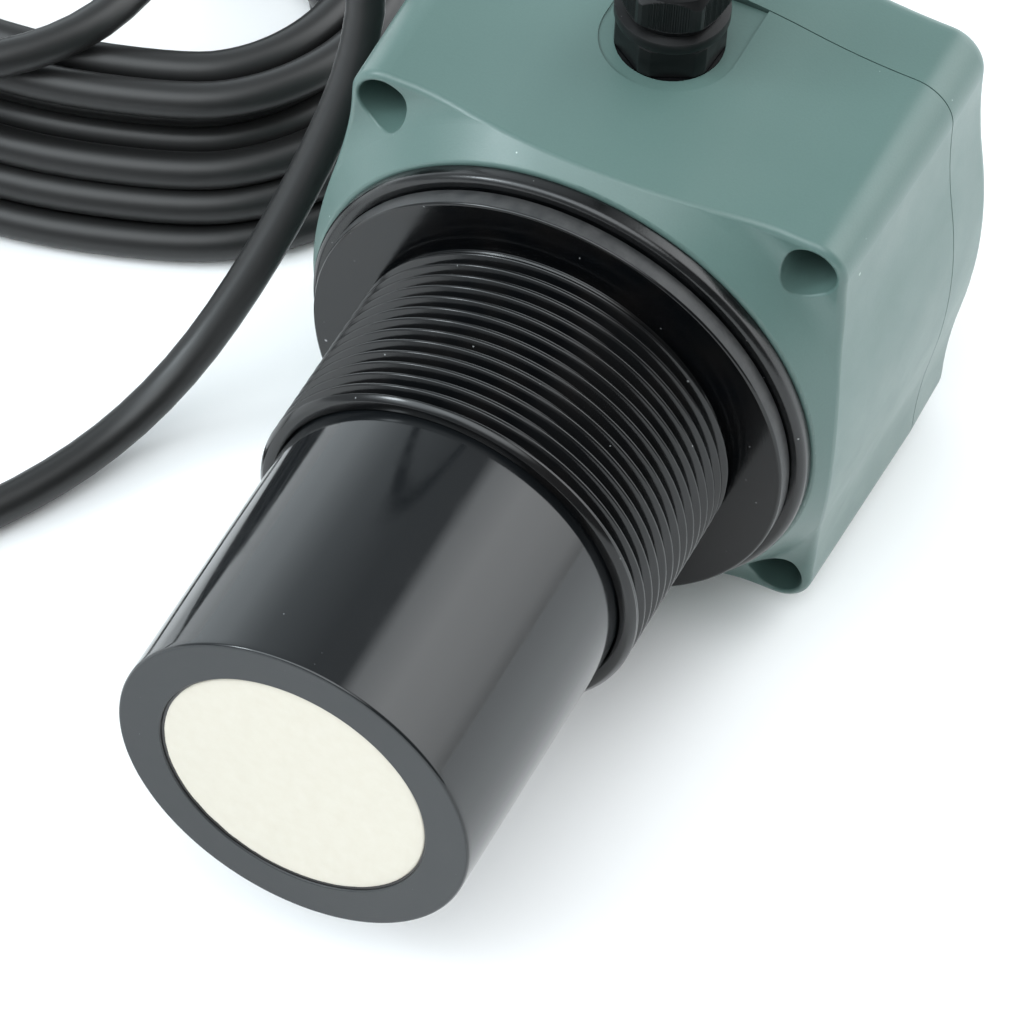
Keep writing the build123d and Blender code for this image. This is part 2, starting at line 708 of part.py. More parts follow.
def tail_ends():
    """The bare cores beyond the jacket's free end, and the ferrules on them."""
    end = Vector(*TAIL_POINTS[-1])
    aim = (end - Vector(*TAIL_POINTS[-2])).normalized()
    plane = Plane(origin=end, z_dir=aim)
    cores = []
    ferrules = []
    ring = CABLE_D / 2 - CORE_D
    for k in range(CORE_COUNT):
        angle = 2 * pi * (k + 0.5) / CORE_COUNT
        place = plane * Pos(ring * cos(angle), ring * sin(angle), 0)
        cores.append(place * Pos(0, 0, TAIL_CORE / 2) * Cylinder(CORE_D / 2, TAIL_CORE))
        ferrules.append(place * Pos(0, 0, TAIL_CORE + FERRULE / 2) * Cylinder(FERRULE_D / 2, FERRULE))
    return Compound(cores), Compound(ferrules)


def build():
    leads = make_leads()
    probe = make_probe()
    disc_y, piezo_y, backing_y, backing_end = stack_levels()
    core, winding = make_transformer()
    coil = make_coil()
    tail_cores, ferrules = tail_ends()
    nodes = {
        "housing": make_housing(),
        "rear_cover": make_cover(),
        "cover_gasket": make_gasket(),
        "threaded_body": make_threaded_body(),
        "flange_seal": make_flange_seal(),
        "sensor_barrel": make_barrel(),
        "sounding_disc": disc(DISC_D / 2, disc_y, DISC_DEPTH),
        "piezo_disc": disc(PIEZO_D / 2, piezo_y, PIEZO_DEPTH),
        "isolation_sleeve": make_isolation_sleeve(),
        "backing_block": make_backing([leads]),
        "potting": make_potting([leads, probe]),
        "transducer_leads": leads,
        "temperature_probe": probe,
        "body_lock_nut": make_lock_nut(),
        "main_board": make_board(),
        "terminal_block": make_terminal_block(),
        "terminal_screws": make_terminal_screws(),
        "transformer_core": core,
        "transformer_winding": winding,
        "capacitors": make_capacitors(),
        "microcontroller": make_microcontroller(),
        "regulator": make_regulator(),
        "sensor_connector": make_sensor_connector(),
        "gland_body": make_gland_body(),
        "gland_grip": make_gland_grip(),
        "gland_nut": make_gland_nut(),
        "gland_gasket": make_gland_gasket(),
        "gland_lock_nut": make_gland_lock_nut(),
        "cable_lead_in": make_cable_lead_in(),
        "cable_cores": make_cores(),
        "cable_run": cable(RUN_POINTS, "cable run") - coil,
        "cable_coil": coil,
        "cable_tail": cable(TAIL_POINTS, "cable tail") - coil,
        "tail_cores": tail_cores,
        "tail_ferrules": ferrules,
    }
    for k, (x, z) in enumerate(corners(), 1):
        nodes[f"cover_screw_{k}"] = make_cover_screw(x, z)
        nodes[f"cover_insert_{k}"] = make_cover_insert(x, z)
    for k, (x, z) in enumerate(board_corners(), 1):
        nodes[f"board_screw_{k}"] = make_board_screw(x, z)
    return nodes


def main():
    os.makedirs("parts", exist_ok=True)
    for name, shape in build().items():
        export_step(SHIFT * shape, f"parts/{name}.step")
        print(name, round(shape.volume, 1))


main()
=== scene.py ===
"""Looks of the ultrasonic level transmitter: the finish of every surface, the thread, the gland's
nut and the signal cable.

Sizes are millimetres in the sensor's own frame, whose origin is on the sensor axis in the plane of
the flange's front face. The function at() turns them into the row frame's metres.
"""
from math import atan2, cos, pi, radians, sin

import bpy
from mathutils import Matrix, Vector, noise


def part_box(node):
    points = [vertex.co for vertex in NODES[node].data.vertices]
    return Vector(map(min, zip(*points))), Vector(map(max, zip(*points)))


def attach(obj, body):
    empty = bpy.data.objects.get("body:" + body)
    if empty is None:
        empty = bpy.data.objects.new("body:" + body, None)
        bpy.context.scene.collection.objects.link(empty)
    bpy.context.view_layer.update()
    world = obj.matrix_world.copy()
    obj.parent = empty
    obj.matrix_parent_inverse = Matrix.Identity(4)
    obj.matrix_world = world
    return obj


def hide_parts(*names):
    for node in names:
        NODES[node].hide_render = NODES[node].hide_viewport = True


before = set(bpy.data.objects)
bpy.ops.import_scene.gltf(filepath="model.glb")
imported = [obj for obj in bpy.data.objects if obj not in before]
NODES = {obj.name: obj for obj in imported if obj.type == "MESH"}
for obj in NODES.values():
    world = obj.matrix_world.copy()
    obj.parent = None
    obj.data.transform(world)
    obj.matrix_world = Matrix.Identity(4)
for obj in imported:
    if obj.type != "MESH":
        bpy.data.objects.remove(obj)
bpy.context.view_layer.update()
MM = 0.001

# The sensor's frame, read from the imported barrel
BARREL_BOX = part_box("sensor_barrel")
AXIS_Z = (BARREL_BOX[0].z + BARREL_BOX[1].z) / 2
BARREL_REACH = 79.6
FLANGE_Y = BARREL_BOX[0].y + BARREL_REACH * MM

# Camera: where it stands, where it looks and its lens, from the fit to the photograph
CAMERA_PLACE = Vector((0.2562, -0.5943, 0.82195))
CAMERA_RIGHT = Vector((0.8954, 0.4433, 0.0427))
CAMERA_UP = Vector((-0.3685, 0.6837, 0.6299))
CAMERA_LENS = 246.1
SENSOR_WIDTH = 36.0

# Light: strengths behind the object by the angle that runs over it, from the left horizon (0 degrees)
# to the right one (180), and in front of it from left to right
PANELS = [
    (0, 1.9), (20, 2.0), (45, 1.05), (80, 0.5), (99, 0.5), (107, 2.8), (128, 3.8), (150, 3.3), (170, 2.5),
    (180, 1.4),
]
PANEL_MOST = 4.0
PANEL_DEPTH = (0.0, 0.40)
FRONT_LIGHT = (-0.5, 0.5, 0.8, 0.2)
LEFT_TINT = (0.87, 0.955, 1.0, 1)
RIGHT_TINT = (0.955, 0.985, 1.0, 1)
FLOOR_GLOW = 0.05

# Lamps in the tent: direction, angle where each begins, angle where it is full, strength
LAMPS = [
    ((0.00, -0.42, 0.90), 30.0, 14.0, 3.6),
    ((-0.60, -0.45, 0.66), 26.0, 10.0, 3.6),
    ((-0.72, -0.40, 0.57), 7.0, 3.5, 19.0),
]

# Sleeve, flange and barrel
THREAD_R = 30.0
# The form of a G 2 pipe thread, on the frame's own crest radius, which is 0.2 mm over that thread's:
# 11 to the inch, 55 degrees between its flanks, crest and root rounded alike
THREAD_PITCH = 25.4 / 11
THREAD_DEPTH = 0.6403 * THREAD_PITCH
THREAD_ROUND = 0.1373 * THREAD_PITCH
THREAD_FLANK = 27.5
THREAD_ROUND_STEPS = 4
THREAD_START = -0.35
THREAD_RUN_IN = 0.7
THREAD_RUN_OUT = 0.8
# Where the crest line would pass the angle 0, one turn before the first whole crest
THREAD_LEAD = 1.35
SLEEVE_LENGTH = 32.4
COLLAR_EDGE = 0.7
COLLAR_PLAIN = 0.9
RELIEF_R = 29.1
FLANGE_R = 37.9
FLANGE_RIM = 3.0
NECK_R = 34.0
BOSS_Y = 6.1
BARREL_R = 27.4
BARREL_BORE_R = 20.75
DISC_R = 20.5
DISC_RECESS = 0.4
SEAL_R = 39.95
SEAL_FRONT = 3.3
TURNS_AROUND = 288

# Cable gland: the hexagonal base and the ribbed nut
GLAND_Y = 36.5
GLAND_SEAT_Z = 42.2
GLAND_HEX = 5.5
GLAND_FLAT_R = 7.45
GLAND_CORNER_R = 8.1
GLAND_TURN = 27.0
GLAND_COLLAR = 2.5
GLAND_COLLAR_R = 6.9
GLAND_NUT = 12.5
NUT_FLAT_R = 7.5
NUT_CORNER_R = 8.45
NUT_TURN = 19.0
NUT_STRIP = 7.5
NUT_RIBS = 17
NUT_RIB_DEPTH = 0.13
NUT_MOUTH_R = 3.2
NUT_SKIRT_R = 8.45
NUT_SKIRT = 2.0
NUT_SKIRT_EDGE = 0.25
NUT_GAP = 0.3
NUT_FLAT_START = 1.2
NUT_FLAT_END = 6.2
NUT_BEVEL = 1.3
NUT_BEVEL_STEPS = 12
NUT_DOME = 2.9
NUT_DOME_STEPS = 9
GLAND_TOP_Z = GLAND_SEAT_Z + GLAND_HEX + GLAND_COLLAR + GLAND_NUT

# Cable
CABLE_D = 6.0
FLOOR_Z = -43.35
RUN_POINTS = [
    (0, GLAND_Y, GLAND_TOP_Z),
    (0, GLAND_Y, GLAND_TOP_Z + 24),
    (-3, 37, GLAND_TOP_Z + 52),
    (-18, 40, GLAND_TOP_Z + 80),
    (-46, 45, GLAND_TOP_Z + 91),
    (-73, 50, GLAND_TOP_Z + 76),
    (-84, 54, GLAND_TOP_Z + 46),
    (-77, 54, GLAND_TOP_Z + 13),
    (-61, 49, 45),
    (-48, 41.5, 19),
    (-53.5, 21, -12.5),
    (-63.5, 0, -38),
    (-76, -29, -40.35),
    (-98, -55, -40.35),
    (-129, -59, -40.35),
    (-152, -36, -37.5),
    (-147, -3, -26),
    (-122, 20, -13),
    (-99, 38, -12.5),
    (-95, 65, -13),
    (-98, 90, -14),
    (-114, 108, -17),
    (-140, 110, -19.6),
]
TAIL_POINTS = [
    (-199.4, 72, -40.35),
    (-199.4, 50, -40.35),
    (-195, 28, -40.35),
    (-182, 10, -40.35),
]

# Coil: an oval of four tangent arcs
COIL_X = -125.5
COIL_Y = 74.9
COIL_HALF_LONG = 77.0
COIL_HALF_SHORT = 56.5
COIL_END_R = 49.0
COIL_TURN = -4.0
COIL_START = 102.0
COIL_END = 180.0 - COIL_TURN
POINTS_PER_TURN = 18
# The last share of a turn, in which the cable crosses to its next place in the bundle
CROSSING_SHARE = 0.28

# Where the turns lie in the bundle, from the top down: (height, insets from the outside)
COIL_ROWS = [
    (23.8, [20.6, 14.2]),
    (18.6, [17.4, 23.4]),
    (13.4, [21.0, 15.0, 9.0]),
    (8.2, [6.0, 12.0, 18.0, 24.0]),
    (3.0, [27.0, 21.0, 15.0, 9.0, 3.0]),
]


def at(x, y, z):
    """A point of the sensor's frame, in the row frame's metres."""
    return Vector((x * MM, y * MM + FLANGE_Y, z * MM + AXIS_Z))


def new_object(name, data, body="root"):
    piece = bpy.data.objects.new(name, data)
    bpy.context.scene.collection.objects.link(piece)
    if body:
        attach(piece, body)
    return piece


def new_mesh(name, points, faces, smooth=True):
    mesh = bpy.data.meshes.new(name)
    mesh.from_pydata(points, [], faces)
    mesh.update()
    mesh.polygons.foreach_set("use_smooth", [smooth] * len(mesh.polygons))
    return mesh


def smooth_by_angle(piece, angle):
    """Marks as sharp the edges where two faces meet at more than the angle."""
    piece.data.set_sharp_from_angle(angle=radians(angle))


class Paint:
    """A material under construction: the shader, its links and a few shorthands for nodes."""

    def __init__(self, name, **shader):
        self.target = bpy.data.materials.new(name)
        self.target.use_nodes = True
        self.tree = self.target.node_tree
        self.shader = self.tree.nodes["Principled BSDF"]
        for key, value in shader.items():
            self.shader.inputs[key.replace("_", " ")].default_value = value
        self.place = self.node("ShaderNodeTexCoord").outputs["Object"]

    def node(self, kind, settings=(), **inputs):
        made = self.tree.nodes.new(kind)
        for key, value in dict(settings).items():
            setattr(made, key, value)
        for key, value in inputs.items():
            self.feed(made.inputs[key.replace("_", " ")], value)
        return made

    def feed(self, socket, value):
        if isinstance(value, bpy.types.NodeSocket):
            self.tree.links.new(value, socket)
        else:
            socket.default_value = value

    def noise(self, size, detail=3.0, rough=0.55, place=None):
        """Noise whose features are about size millimetres wide."""
        made = self.node(
            "ShaderNodeTexNoise", Vector=place or self.place,
            Scale=1 / (size * MM), Detail=detail, Roughness=rough,
        )
        return made.outputs["Fac"]

    def range(self, value, low, high, to_low=0.0, to_high=1.0):
        made = self.node("ShaderNodeMapRange")
        for socket, given in zip(made.inputs, (value, low, high, to_low, to_high)):
            self.feed(socket, given)
        return made.outputs["Result"]

    def math(self, operation, a, b=0.0):
        made = self.node("ShaderNodeMath", {"operation": operation})
        self.feed(made.inputs[0], a)
        self.feed(made.inputs[1], b)
        return made.outputs["Value"]

    def mix(self, factor, a, b):
        made = self.node("ShaderNodeMix", {"data_type": "RGBA"})
        self.feed(made.inputs["Factor"], factor)
        self.feed([s for s in made.inputs if s.name == "A" and s.type == "RGBA"][0], a)
        self.feed([s for s in made.inputs if s.name == "B" and s.type == "RGBA"][0], b)
        return [s for s in made.outputs if s.type == "RGBA"][0]

    def specks(self, spacing, size, share):
        """Sparse round specks: 1 inside one, 0 outside."""
        cells = self.node(
            "ShaderNodeTexVoronoi", Vector=self.place, Scale=1 / (spacing * MM), Randomness=1.0
        )
        near = self.range(cells.outputs["Distance"], size / spacing, size / spacing * 0.4)
        parts = self.node("ShaderNodeSeparateColor", Color=cells.outputs["Color"])
        chosen = self.math("LESS_THAN", parts.outputs["Red"], share)
        return self.math("MULTIPLY", near, chosen)

    def bump(self, height, depth, normal=None):
        made = self.node("ShaderNodeBump", Height=height, Strength=1.0, Distance=depth * MM)
        if normal:
            self.feed(made.inputs["Normal"], normal)
        return made.outputs["Normal"]

    def around_axis(self, along, around, radial):
        """Coordinates about the sensor axis, each stretched by its own factor."""
        parts = self.node("ShaderNodeSeparateXYZ", Vector=self.place)
        x = parts.outputs["X"]
        z = self.math("SUBTRACT", parts.outputs["Z"], AXIS_Z)
        angle = self.math("ARCTAN2", z, x)
        radius = self.math("SQRT", self.math("ADD", self.math("MULTIPLY", x, x), self.math("MULTIPLY", z, z)))
        made = self.node("ShaderNodeCombineXYZ")
        self.feed(made.inputs["X"], self.math("MULTIPLY", parts.outputs["Y"], along))
        self.feed(made.inputs["Y"], self.math("MULTIPLY", angle, around))
        self.feed(made.inputs["Z"], self.math("MULTIPLY", radius, radial))
        return made.outputs["Vector"]

    def set(self, **inputs):
        for key, value in inputs.items():
            self.feed(self.shader.inputs[key.replace("_", " ")], value)
        return self.target


def housing_paint():
    """Satin moulded plastic, grey-green, with a fine spark-eroded grain and a little dust."""
    p = Paint("housing_plastic", IOR=1.5)
    clouds = p.noise(38.0, 2.0)
    grain = p.noise(0.35, 2.0)
    fine = p.noise(0.12, 2.0)
    base = p.mix(clouds, (0.081, 0.138, 0.125, 1), (0.088, 0.149, 0.135, 1))
    base = p.mix(p.range(grain, 0.3, 0.7, 0.0, 0.10), base, (0.12, 0.21, 0.195, 1))
    dust = p.math("ADD", p.specks(2.6, 0.18, 0.09), p.specks(6.5, 0.36, 0.13))
    base = p.mix(p.math("MULTIPLY", dust, 0.75), base, (0.55, 0.66, 0.62, 1))
    rough = p.range(p.noise(9.0, 3.0), 0.3, 0.7, 0.31, 0.38)
    normal = p.bump(p.math("ADD", grain, p.math("MULTIPLY", fine, 0.6)), 0.012)
    return p.set(Base_Color=base, Roughness=rough, Normal=normal)


def turned_paint():
    """Black turned plastic of the sleeve and flange: fine tool marks round the axis."""
    p = Paint("black_turned", IOR=1.46)
    marks = p.noise(0.25, 2.0, place=p.around_axis(1.0, 0.004, 1.0))
    blotch = p.noise(7.0, 4.0)
    base = p.mix(p.range(blotch, 0.4, 0.7), (0.0020, 0.0024, 0.0029, 1), (0.0046, 0.0042, 0.0042, 1))
    dust = p.math("ADD", p.specks(1.9, 0.16, 0.12), p.specks(4.5, 0.28, 0.12))
    base = p.mix(p.math("MULTIPLY", dust, 0.85), base, (0.36, 0.37, 0.37, 1))
    rough = p.range(p.math("ADD", blotch, p.math("MULTIPLY", marks, 0.3)), 0.4, 0.9, 0.11, 0.20)
    normal = p.bump(marks, 0.004)
    return p.set(Base_Color=base, Roughness=rough, Normal=normal)


def rim_paint():
    """The flange's rim as it was cut: matt, with fine lines across it."""
    p = Paint("flange_rim", IOR=1.5)
    lines = p.noise(0.3, 3.0, 0.6, place=p.around_axis(0.25, 0.034, 0.0))
    blotch = p.noise(2.5, 4.0, 0.6)
    base = p.mix(p.range(blotch, 0.35, 0.7), (0.020, 0.021, 0.022, 1), (0.045, 0.045, 0.045, 1))
    normal = p.bump(lines, 0.03)
    return p.set(Base_Color=base, Roughness=p.range(blotch, 0.3, 0.7, 0.42, 0.55), Normal=normal)


def barrel_paint():
    """Polished black plastic with faint smudges and hair scratches."""
    p = Paint("barrel_gloss", IOR=1.5)
    smudge = p.noise(6.0, 5.0, 0.6)
    wave = p.noise(16.0, 1.0)
    scratch = p.noise(0.10, 2.0, place=p.around_axis(1.0, 0.0025, 0.0))
    dust = p.math("ADD", p.specks(2.1, 0.07, 0.08), p.specks(6.0, 0.14, 0.10))
    base = p.mix(p.math("MULTIPLY", dust, 0.5), (0.0065, 0.0075, 0.0085, 1), (0.30, 0.32, 0.33, 1))
    rough = p.range(smudge, 0.45, 0.75, 0.075, 0.16)
    normal = p.bump(scratch, 0.0006, normal=p.bump(wave, 0.03))
    return p.set(Base_Color=base, Roughness=rough, Normal=normal)


def face_ring_paint():
    """The barrel's faced end: matt dark grey with light scratches."""
    p = Paint("barrel_face", IOR=1.5)
    turned = p.noise(0.2, 2.0, place=p.around_axis(0.0, 0.003, 1.0))
    scuff = p.noise(3.0, 6.0, 0.65)
    base = p.mix(p.range(scuff, 0.35, 0.75), (0.012, 0.014, 0.016, 1), (0.022, 0.025, 0.027, 1))
    dust = p.math("ADD", p.specks(1.6, 0.10, 0.14), p.specks(4.0, 0.2, 0.12))
    base = p.mix(p.math("MULTIPLY", dust, 0.4), base, (0.30, 0.32, 0.33, 1))
    normal = p.bump(turned, 0.01)
    return p.set(Base_Color=base, Roughness=p.range(scuff, 0.3, 0.7, 0.42, 0.55), Normal=normal)


def disc_paint():
    """Cream sounding face: matt, faintly mottled."""
    p = Paint("sounding_face", IOR=1.45)
    mottle = p.noise(2.2, 5.0, 0.6)
    grain = p.noise(0.25, 2.0)
    base = p.mix(p.range(mottle, 0.35, 0.7), (0.634, 0.594, 0.513, 1), (0.613, 0.569, 0.484, 1))
    base = p.mix(p.math("MULTIPLY", p.specks(3.2, 0.11, 0.12), 0.35), base, (0.5, 0.42, 0.3, 1))
    return p.set(Base_Color=base, Roughness=0.78, Normal=p.bump(grain, 0.02))


def rubber_paint(name="black_rubber"):
    """Black rubber with a faint bloom and dust."""
    p = Paint(name, IOR=1.5)
    bloom = p.noise(4.0, 4.0, 0.6)
    dust = p.math("ADD", p.specks(1.6, 0.12, 0.14), p.specks(3.8, 0.22, 0.14))
    base = p.mix(p.range(bloom, 0.4, 0.75), (0.0020, 0.0023, 0.0026, 1), (0.0055, 0.0056, 0.0060, 1))
    base = p.mix(p.math("MULTIPLY", dust, 0.5), base, (0.42, 0.43, 0.42, 1))
    return p.set(Base_Color=base, Roughness=p.range(bloom, 0.3, 0.7, 0.16, 0.26),
                 Normal=p.bump(p.noise(0.3, 3.0), 0.012))


def jacket_paint():
    """The cable's jacket: satin black with soft smudges and a little dust."""
    p = Paint("cable_jacket", IOR=1.45, Specular_IOR_Level=0.42)
    smudge = p.noise(7.0, 4.0, 0.6)
    dust = p.math("ADD", p.specks(3.0, 0.10, 0.10), p.specks(7.0, 0.2, 0.12))
    base = p.mix(smudge, (0.0013, 0.0016, 0.0019, 1), (0.0032, 0.0037, 0.0041, 1))
    base = p.mix(p.math("MULTIPLY", dust, 0.5), base, (0.4, 0.41, 0.4, 1))
    return p.set(Base_Color=base, Roughness=p.range(smudge, 0.3, 0.7, 0.15, 0.24),
                 Normal=p.bump(p.noise(0.5, 3.0), 0.010))


def gland_paint():
    """The gland's near black nylon."""
    p = Paint("gland_nylon", IOR=1.42, Specular_IOR_Level=0.33)
    cloud = p.noise(2.5, 4.0)
    base = p.mix(cloud, (0.0012, 0.0014, 0.0016, 1), (0.0030, 0.0033, 0.0036, 1))
    base = p.mix(p.math("MULTIPLY", p.specks(1.8, 0.09, 0.10), 0.5), base, (0.4, 0.4, 0.4, 1))
    return p.set(Base_Color=base, Roughness=p.range(cloud, 0.3, 0.7, 0.32, 0.45),
                 Normal=p.bump(p.noise(0.3, 3.0), 0.012))


def plain_paint(name, color, rough, metallic=0.0, size=1.5):
    """A quiet material for inner pieces: slight variation of colour and roughness."""
    p = Paint(name, Metallic=metallic)
    cloud = p.noise(size, 4.0)
    dark = tuple(c * 0.82 for c in color)
    base = p.mix(cloud, (*dark, 1), (*color, 1))
    return p.set(Base_Color=base, Roughness=p.range(cloud, 0.3, 0.7, rough * 0.85, rough * 1.1),
                 Normal=p.bump(p.noise(size * 0.2, 2.0), 0.01))


def dress(material, *names):
    for name in names:
        mesh = NODES[name].data
        mesh.materials.clear()
        mesh.materials.append(material)


def ring_point(radius, y, angle):
    return at(radius * cos(angle), y, radius * sin(angle))


def lathe(name, profile, count=TURNS_AROUND, closed=False):
    """Turns (radius, y) points about the sensor axis into a mesh."""
    points = []
    for radius, y in profile:
        for k in range(count):
            points.append(ring_point(radius, y, 2 * pi * k / count))
    faces = []
    rows = len(profile) if closed else len(profile) - 1
    for i in range(rows):
        j = (i + 1) % len(profile)
        for k in range(count):
            n = (k + 1) % count
            faces.append((i * count + k, j * count + k, j * count + n, i * count + n))
    return new_mesh(name, points, faces)


def arc(cx, cy, radius, start, end, steps):
    """Points of an arc in (radius, y), angles in degrees."""
    found = []
    for i in range(steps + 1):
        angle = radians(start + (end - start) * i / steps)
        found.append((cx + radius * cos(angle), cy + radius * sin(angle)))
    return found


def thread_profile():
    """One pitch of the thread as (share of the pitch, depth below the crest): a round crest and a
    round root, joined by straight flanks."""
    crest = []
    for k in range(THREAD_ROUND_STEPS + 1):
        turn = radians(90 - THREAD_FLANK) * k / THREAD_ROUND_STEPS
        crest.append((THREAD_ROUND * sin(turn) / THREAD_PITCH, THREAD_ROUND * (1 - cos(turn))))
    root = [(0.5 - share, THREAD_DEPTH - depth) for share, depth in reversed(crest)]
    half = crest + root
    return half + [(1 - share, depth) for share, depth in reversed(half[1:-1])]


def make_thread():
    """The helical thread between its run-outs, as one strip wound round the axis."""
    profile = thread_profile()
    per = len(profile)
    end_y = -(SLEEVE_LENGTH - COLLAR_PLAIN)
    turns = int((THREAD_LEAD - end_y) / THREAD_PITCH) + 2
    count = TURNS_AROUND
    points = []
    for i in range(turns * per):
        share, depth = profile[i % per]
        for k in range(count):
            y = THREAD_LEAD - THREAD_PITCH * (i // per + share + k / count)
            fade_top = min(1.0, max(0.0, (THREAD_START - y) / THREAD_RUN_IN))
            fade_end = min(1.0, max(0.0, (y - end_y) / THREAD_RUN_OUT))
            y = min(THREAD_START, max(end_y, y))
            top = RELIEF_R + (THREAD_R - RELIEF_R) * fade_top
            radius = (THREAD_R - depth * fade_end) * fade_top + (1 - fade_top) * RELIEF_R
            points.append(ring_point(min(radius, top), y, 2 * pi * k / count))
    faces = []
    for i in range(turns * per - 1):
        for k in range(count):
            n = (k + 1) % count
            shift = per if n == 0 else 0
            if i + 1 + shift < turns * per:
                faces.append((
                    i * count + k, (i + 1) * count + k,
                    (i + 1 + shift) * count + n, (i + shift) * count + n,
                ))
    return points, faces


def build_sleeve(paint, cut_paint):
    """Sleeve, thread, flange and neck, turned about the sensor axis, as one mesh."""
    collar_y = -(SLEEVE_LENGTH - COLLAR_PLAIN)
    edge = COLLAR_EDGE
    front = [
        (BARREL_R + 0.12, -SLEEVE_LENGTH + 2.0),
        (BARREL_R + 0.12, -SLEEVE_LENGTH + 0.25),
        (BARREL_R + 0.30, -SLEEVE_LENGTH + 0.05),
        (BARREL_R + 0.42, -SLEEVE_LENGTH),
        (THREAD_R - edge - 0.1, -SLEEVE_LENGTH),
        (THREAD_R - edge, -SLEEVE_LENGTH + 0.05),
        (THREAD_R - 0.06, collar_y - 0.2),
        (THREAD_R, collar_y),
    ]
    back = [
        (RELIEF_R, THREAD_START), (RELIEF_R, -0.3), (RELIEF_R + 0.1, -0.1), (RELIEF_R + 0.35, 0.0),
        (RELIEF_R + 0.40, 0.0), (FLANGE_R - 0.45, 0.0), (FLANGE_R - 0.40, 0.0), (FLANGE_R - 0.28, 0.03),
        (FLANGE_R - 0.08, 0.16), (FLANGE_R, 0.36),
        (FLANGE_R, FLANGE_RIM - 0.2), (FLANGE_R - 0.06, FLANGE_RIM - 0.05), (FLANGE_R - 0.2, FLANGE_RIM),
        (FLANGE_R - 1.1, FLANGE_RIM), (FLANGE_R - 1.1, FLANGE_RIM + 0.3), (NECK_R, FLANGE_RIM + 0.3),
        (NECK_R, BOSS_Y),
    ]
    count = TURNS_AROUND
    points, faces = make_thread()
    for profile in (front, back):
        start = len(points)
        for radius, y in profile:
            for k in range(count):
                points.append(ring_point(radius, y, 2 * pi * k / count))
        for i in range(len(profile) - 1):
            for k in range(count):
                n = (k + 1) % count
                a = start + i * count
                faces.append((a + k, a + count + k, a + count + n, a + n))
    mesh = new_mesh("threaded_sleeve", points, faces)
    piece = new_object("threaded_sleeve", mesh)
    smooth_by_angle(piece, 40.0)
    mesh.materials.append(paint)
    mesh.materials.append(cut_paint)
    for polygon in mesh.polygons:
        away = Vector((polygon.center.x, polygon.center.z - AXIS_Z)).length / MM
        level = (polygon.center.y - FLANGE_Y) / MM
        polygon.material_index = 1 if away > FLANGE_R - 0.1 and level > 0.3 else 0
    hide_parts("threaded_body")


def build_barrel(paint, face_paint):
    """The polished barrel with its faced end; the face is matt."""
    face_y = -BARREL_REACH
    hole = BARREL_BORE_R
    profile = [
        (hole, face_y + 2.0), (hole, face_y + 0.15), (hole + 0.15, face_y),
        (hole + 0.20, face_y), (BARREL_R - 0.60, face_y), (BARREL_R - 0.55, face_y),
        *arc(BARREL_R - 0.5, face_y + 0.5, 0.5, -90, 0, 5),
        (BARREL_R, face_y + 1.2), (BARREL_R, face_y + 20), (BARREL_R, -SLEEVE_LENGTH - 3),
        (BARREL_R, -SLEEVE_LENGTH + 4),
    ]
    mesh = lathe("barrel_shell", profile)
    mesh.materials.append(paint)
    mesh.materials.append(face_paint)
    for polygon in mesh.polygons:
        inside = (polygon.center.y - FLANGE_Y) / MM < face_y + 0.06
        bore = Vector((polygon.center.x, polygon.center.z - AXIS_Z)).length / MM < hole + 0.1
        polygon.material_index = 1 if inside or bore else 0
    piece = new_object("barrel_shell", mesh)
    smooth_by_angle(piece, 50.0)
    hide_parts("sensor_barrel")


def build_disc(paint):
    """The sounding disc with a soft edge, a little below the barrel's face."""
    face_y = -BARREL_REACH + DISC_RECESS
    profile = [(DISC_R, face_y + 3.0), *arc(DISC_R - 0.35, face_y + 0.35, 0.35, 0, -90, 4)]
    profile += [(DISC_R - 1.5, face_y - 0.02), (12.0, face_y), (4.0, face_y), (0.05, face_y)]
    mesh = lathe("sounding_face", profile)
    mesh.materials.append(paint)
    piece = new_object("sounding_face", mesh)
    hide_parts("sounding_disc")


def build_glue_and_shade(paint):
    """The dark line of adhesive round the disc; its widening towards the lower left is painted shade of the
    recessed edge.
    """
    count = 360
    points = []
    faces = []
    face_y = -BARREL_REACH + DISC_RECESS
    for k in range(count):
        angle = 2 * pi * k / count
        # Painted shade: the dark ring widens over the disc's edge towards the lower left, standing in for the
        # recess's shade there
        painted_shade = max(0.0, cos(angle - radians(232))) ** 0.8
        ragged = noise.noise(Vector((cos(angle) * 9, sin(angle) * 9, 3.0)))
        fine = noise.noise(Vector((cos(angle) * 40, sin(angle) * 40, 7.0)))
        reach = 0.05 + painted_shade * (0.55 + 0.28 * ragged + 0.12 * fine)
        inner = DISC_R - max(0.04, reach)
        for radius, y in (
            (BARREL_BORE_R + 0.02, face_y + 0.6), (BARREL_BORE_R + 0.02, face_y - 0.10),
            ((inner + BARREL_BORE_R) / 2, face_y - 0.06), (inner, face_y + 0.05), (inner, face_y + 0.6),
        ):
            points.append(ring_point(radius, y, angle))
    per = 5
    for k in range(count):
        n = (k + 1) % count
        for i in range(per):
            j = (i + 1) % per
            faces.append((k * per + i, n * per + i, n * per + j, k * per + j))
    mesh = new_mesh("disc_glue_and_shade", points, faces)
    mesh.materials.append(paint)
    piece = new_object("disc_glue_and_shade", mesh)


def build_seal(paint):
    """The rubber ring with its rounded lip."""
    inner = NECK_R + 0.1
    lip = 1.15
    profile = [
        (inner, SEAL_FRONT), (inner, BOSS_Y), (SEAL_R - 0.3, BOSS_Y), (SEAL_R - 0.06, BOSS_Y - 0.12),
        (SEAL_R, BOSS_Y - 0.4),
        *arc(SEAL_R - lip, SEAL_FRONT + lip, lip, 0, -90, 10),
        (SEAL_R - 2.4, SEAL_FRONT + 0.02),
    ]
    mesh = lathe("seal_ring", profile, closed=True)
    mesh.materials.append(paint)
    piece = new_object("seal_ring", mesh)
    smooth_by_angle(piece, 50.0)
    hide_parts("flange_seal")


